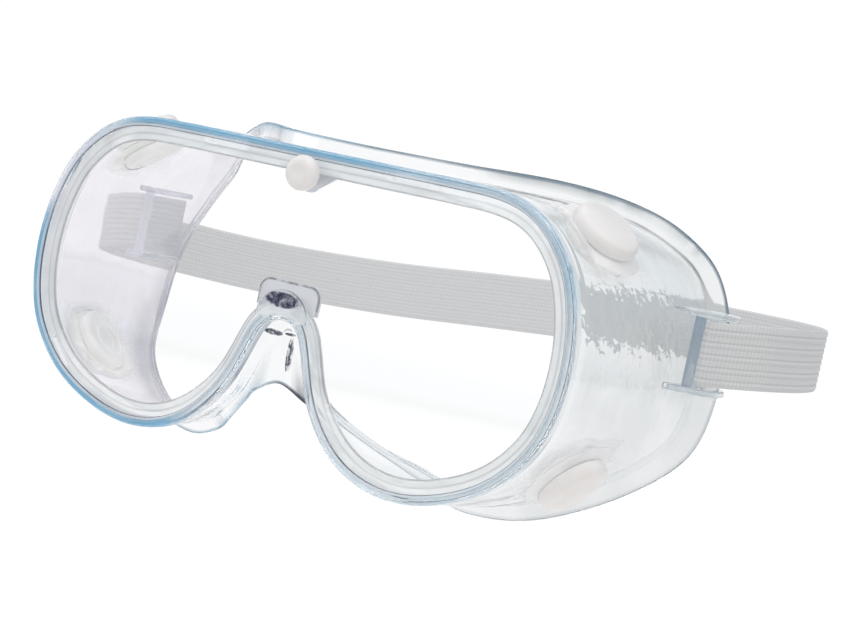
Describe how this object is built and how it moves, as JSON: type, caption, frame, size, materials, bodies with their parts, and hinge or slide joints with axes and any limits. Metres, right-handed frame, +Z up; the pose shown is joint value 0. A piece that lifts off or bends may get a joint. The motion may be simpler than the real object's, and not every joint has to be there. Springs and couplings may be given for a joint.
{
  "type": "safety goggles",
  "caption": "Clear splash safety goggles: soft moulded body with face flange, flat lens, snap-in covered vents, a lens stud and an elastic head strap.",
  "frame": {"origin": "on the mirror plane, in the plane of the rim's front edge, at the middle of the lens height", "axes": "+Z up, -Y the way the wearer looks, +X towards the wearer's left side"},
  "size_m": [0.2216, 0.1272, 0.0863],
  "materials": {
    "clear_soft": "gloss",
    "clear_hard": "gloss",
    "milky": "satin",
    "elastic": "matte"
  },
  "bodies": {
    "frame": {"goggle_body": "clear_soft", "lens": "clear_hard", "vent_seat_upper_left": "milky", "vent_seat_upper_right": "milky", "vent_seat_lower_left": "milky", "vent_seat_lower_right": "milky", "strap_end_left": "elastic", "strap_end_right": "elastic"},
    "strap": {"strap_band": "elastic"},
    "stud": {"lens_stud": "milky"},
    "cap_upper_left": {"vent_cap_upper_left": "milky"},
    "cap_upper_right": {"vent_cap_upper_right": "milky"},
    "cap_lower_left": {"vent_cap_lower_left": "milky"},
    "cap_lower_right": {"vent_cap_lower_right": "milky"}
  },
  "joints": [
    {"name": "strap_swing", "type": "hinge", "parent": "frame", "child": "strap", "pos_m": [0, 0.0595, 0.011], "axis": [1, 0, 0], "range_deg": [-30, 30]},
    {"name": "lens_stud_pull", "type": "slide", "parent": "frame", "child": "stud", "axis": [0, -1, 0], "range_m": [0, 0.012]},
    {"name": "vent_cap_upper_left_pull", "type": "slide", "parent": "frame", "child": "cap_upper_left", "axis": [0.5594, -0.2198, 0.7992], "range_m": [0, 0.01]},
    {"name": "vent_cap_upper_right_pull", "type": "slide", "parent": "frame", "child": "cap_upper_right", "axis": [-0.5594, -0.2198, 0.7992], "range_m": [0, 0.01]},
    {"name": "vent_cap_lower_left_pull", "type": "slide", "parent": "frame", "child": "cap_lower_left", "axis": [0.7494, -0.0999, -0.6545], "range_m": [0, 0.01]},
    {"name": "vent_cap_lower_right_pull", "type": "slide", "parent": "frame", "child": "cap_lower_right", "axis": [-0.7494, -0.0999, -0.6545], "range_m": [0, 0.01]}
  ]
}
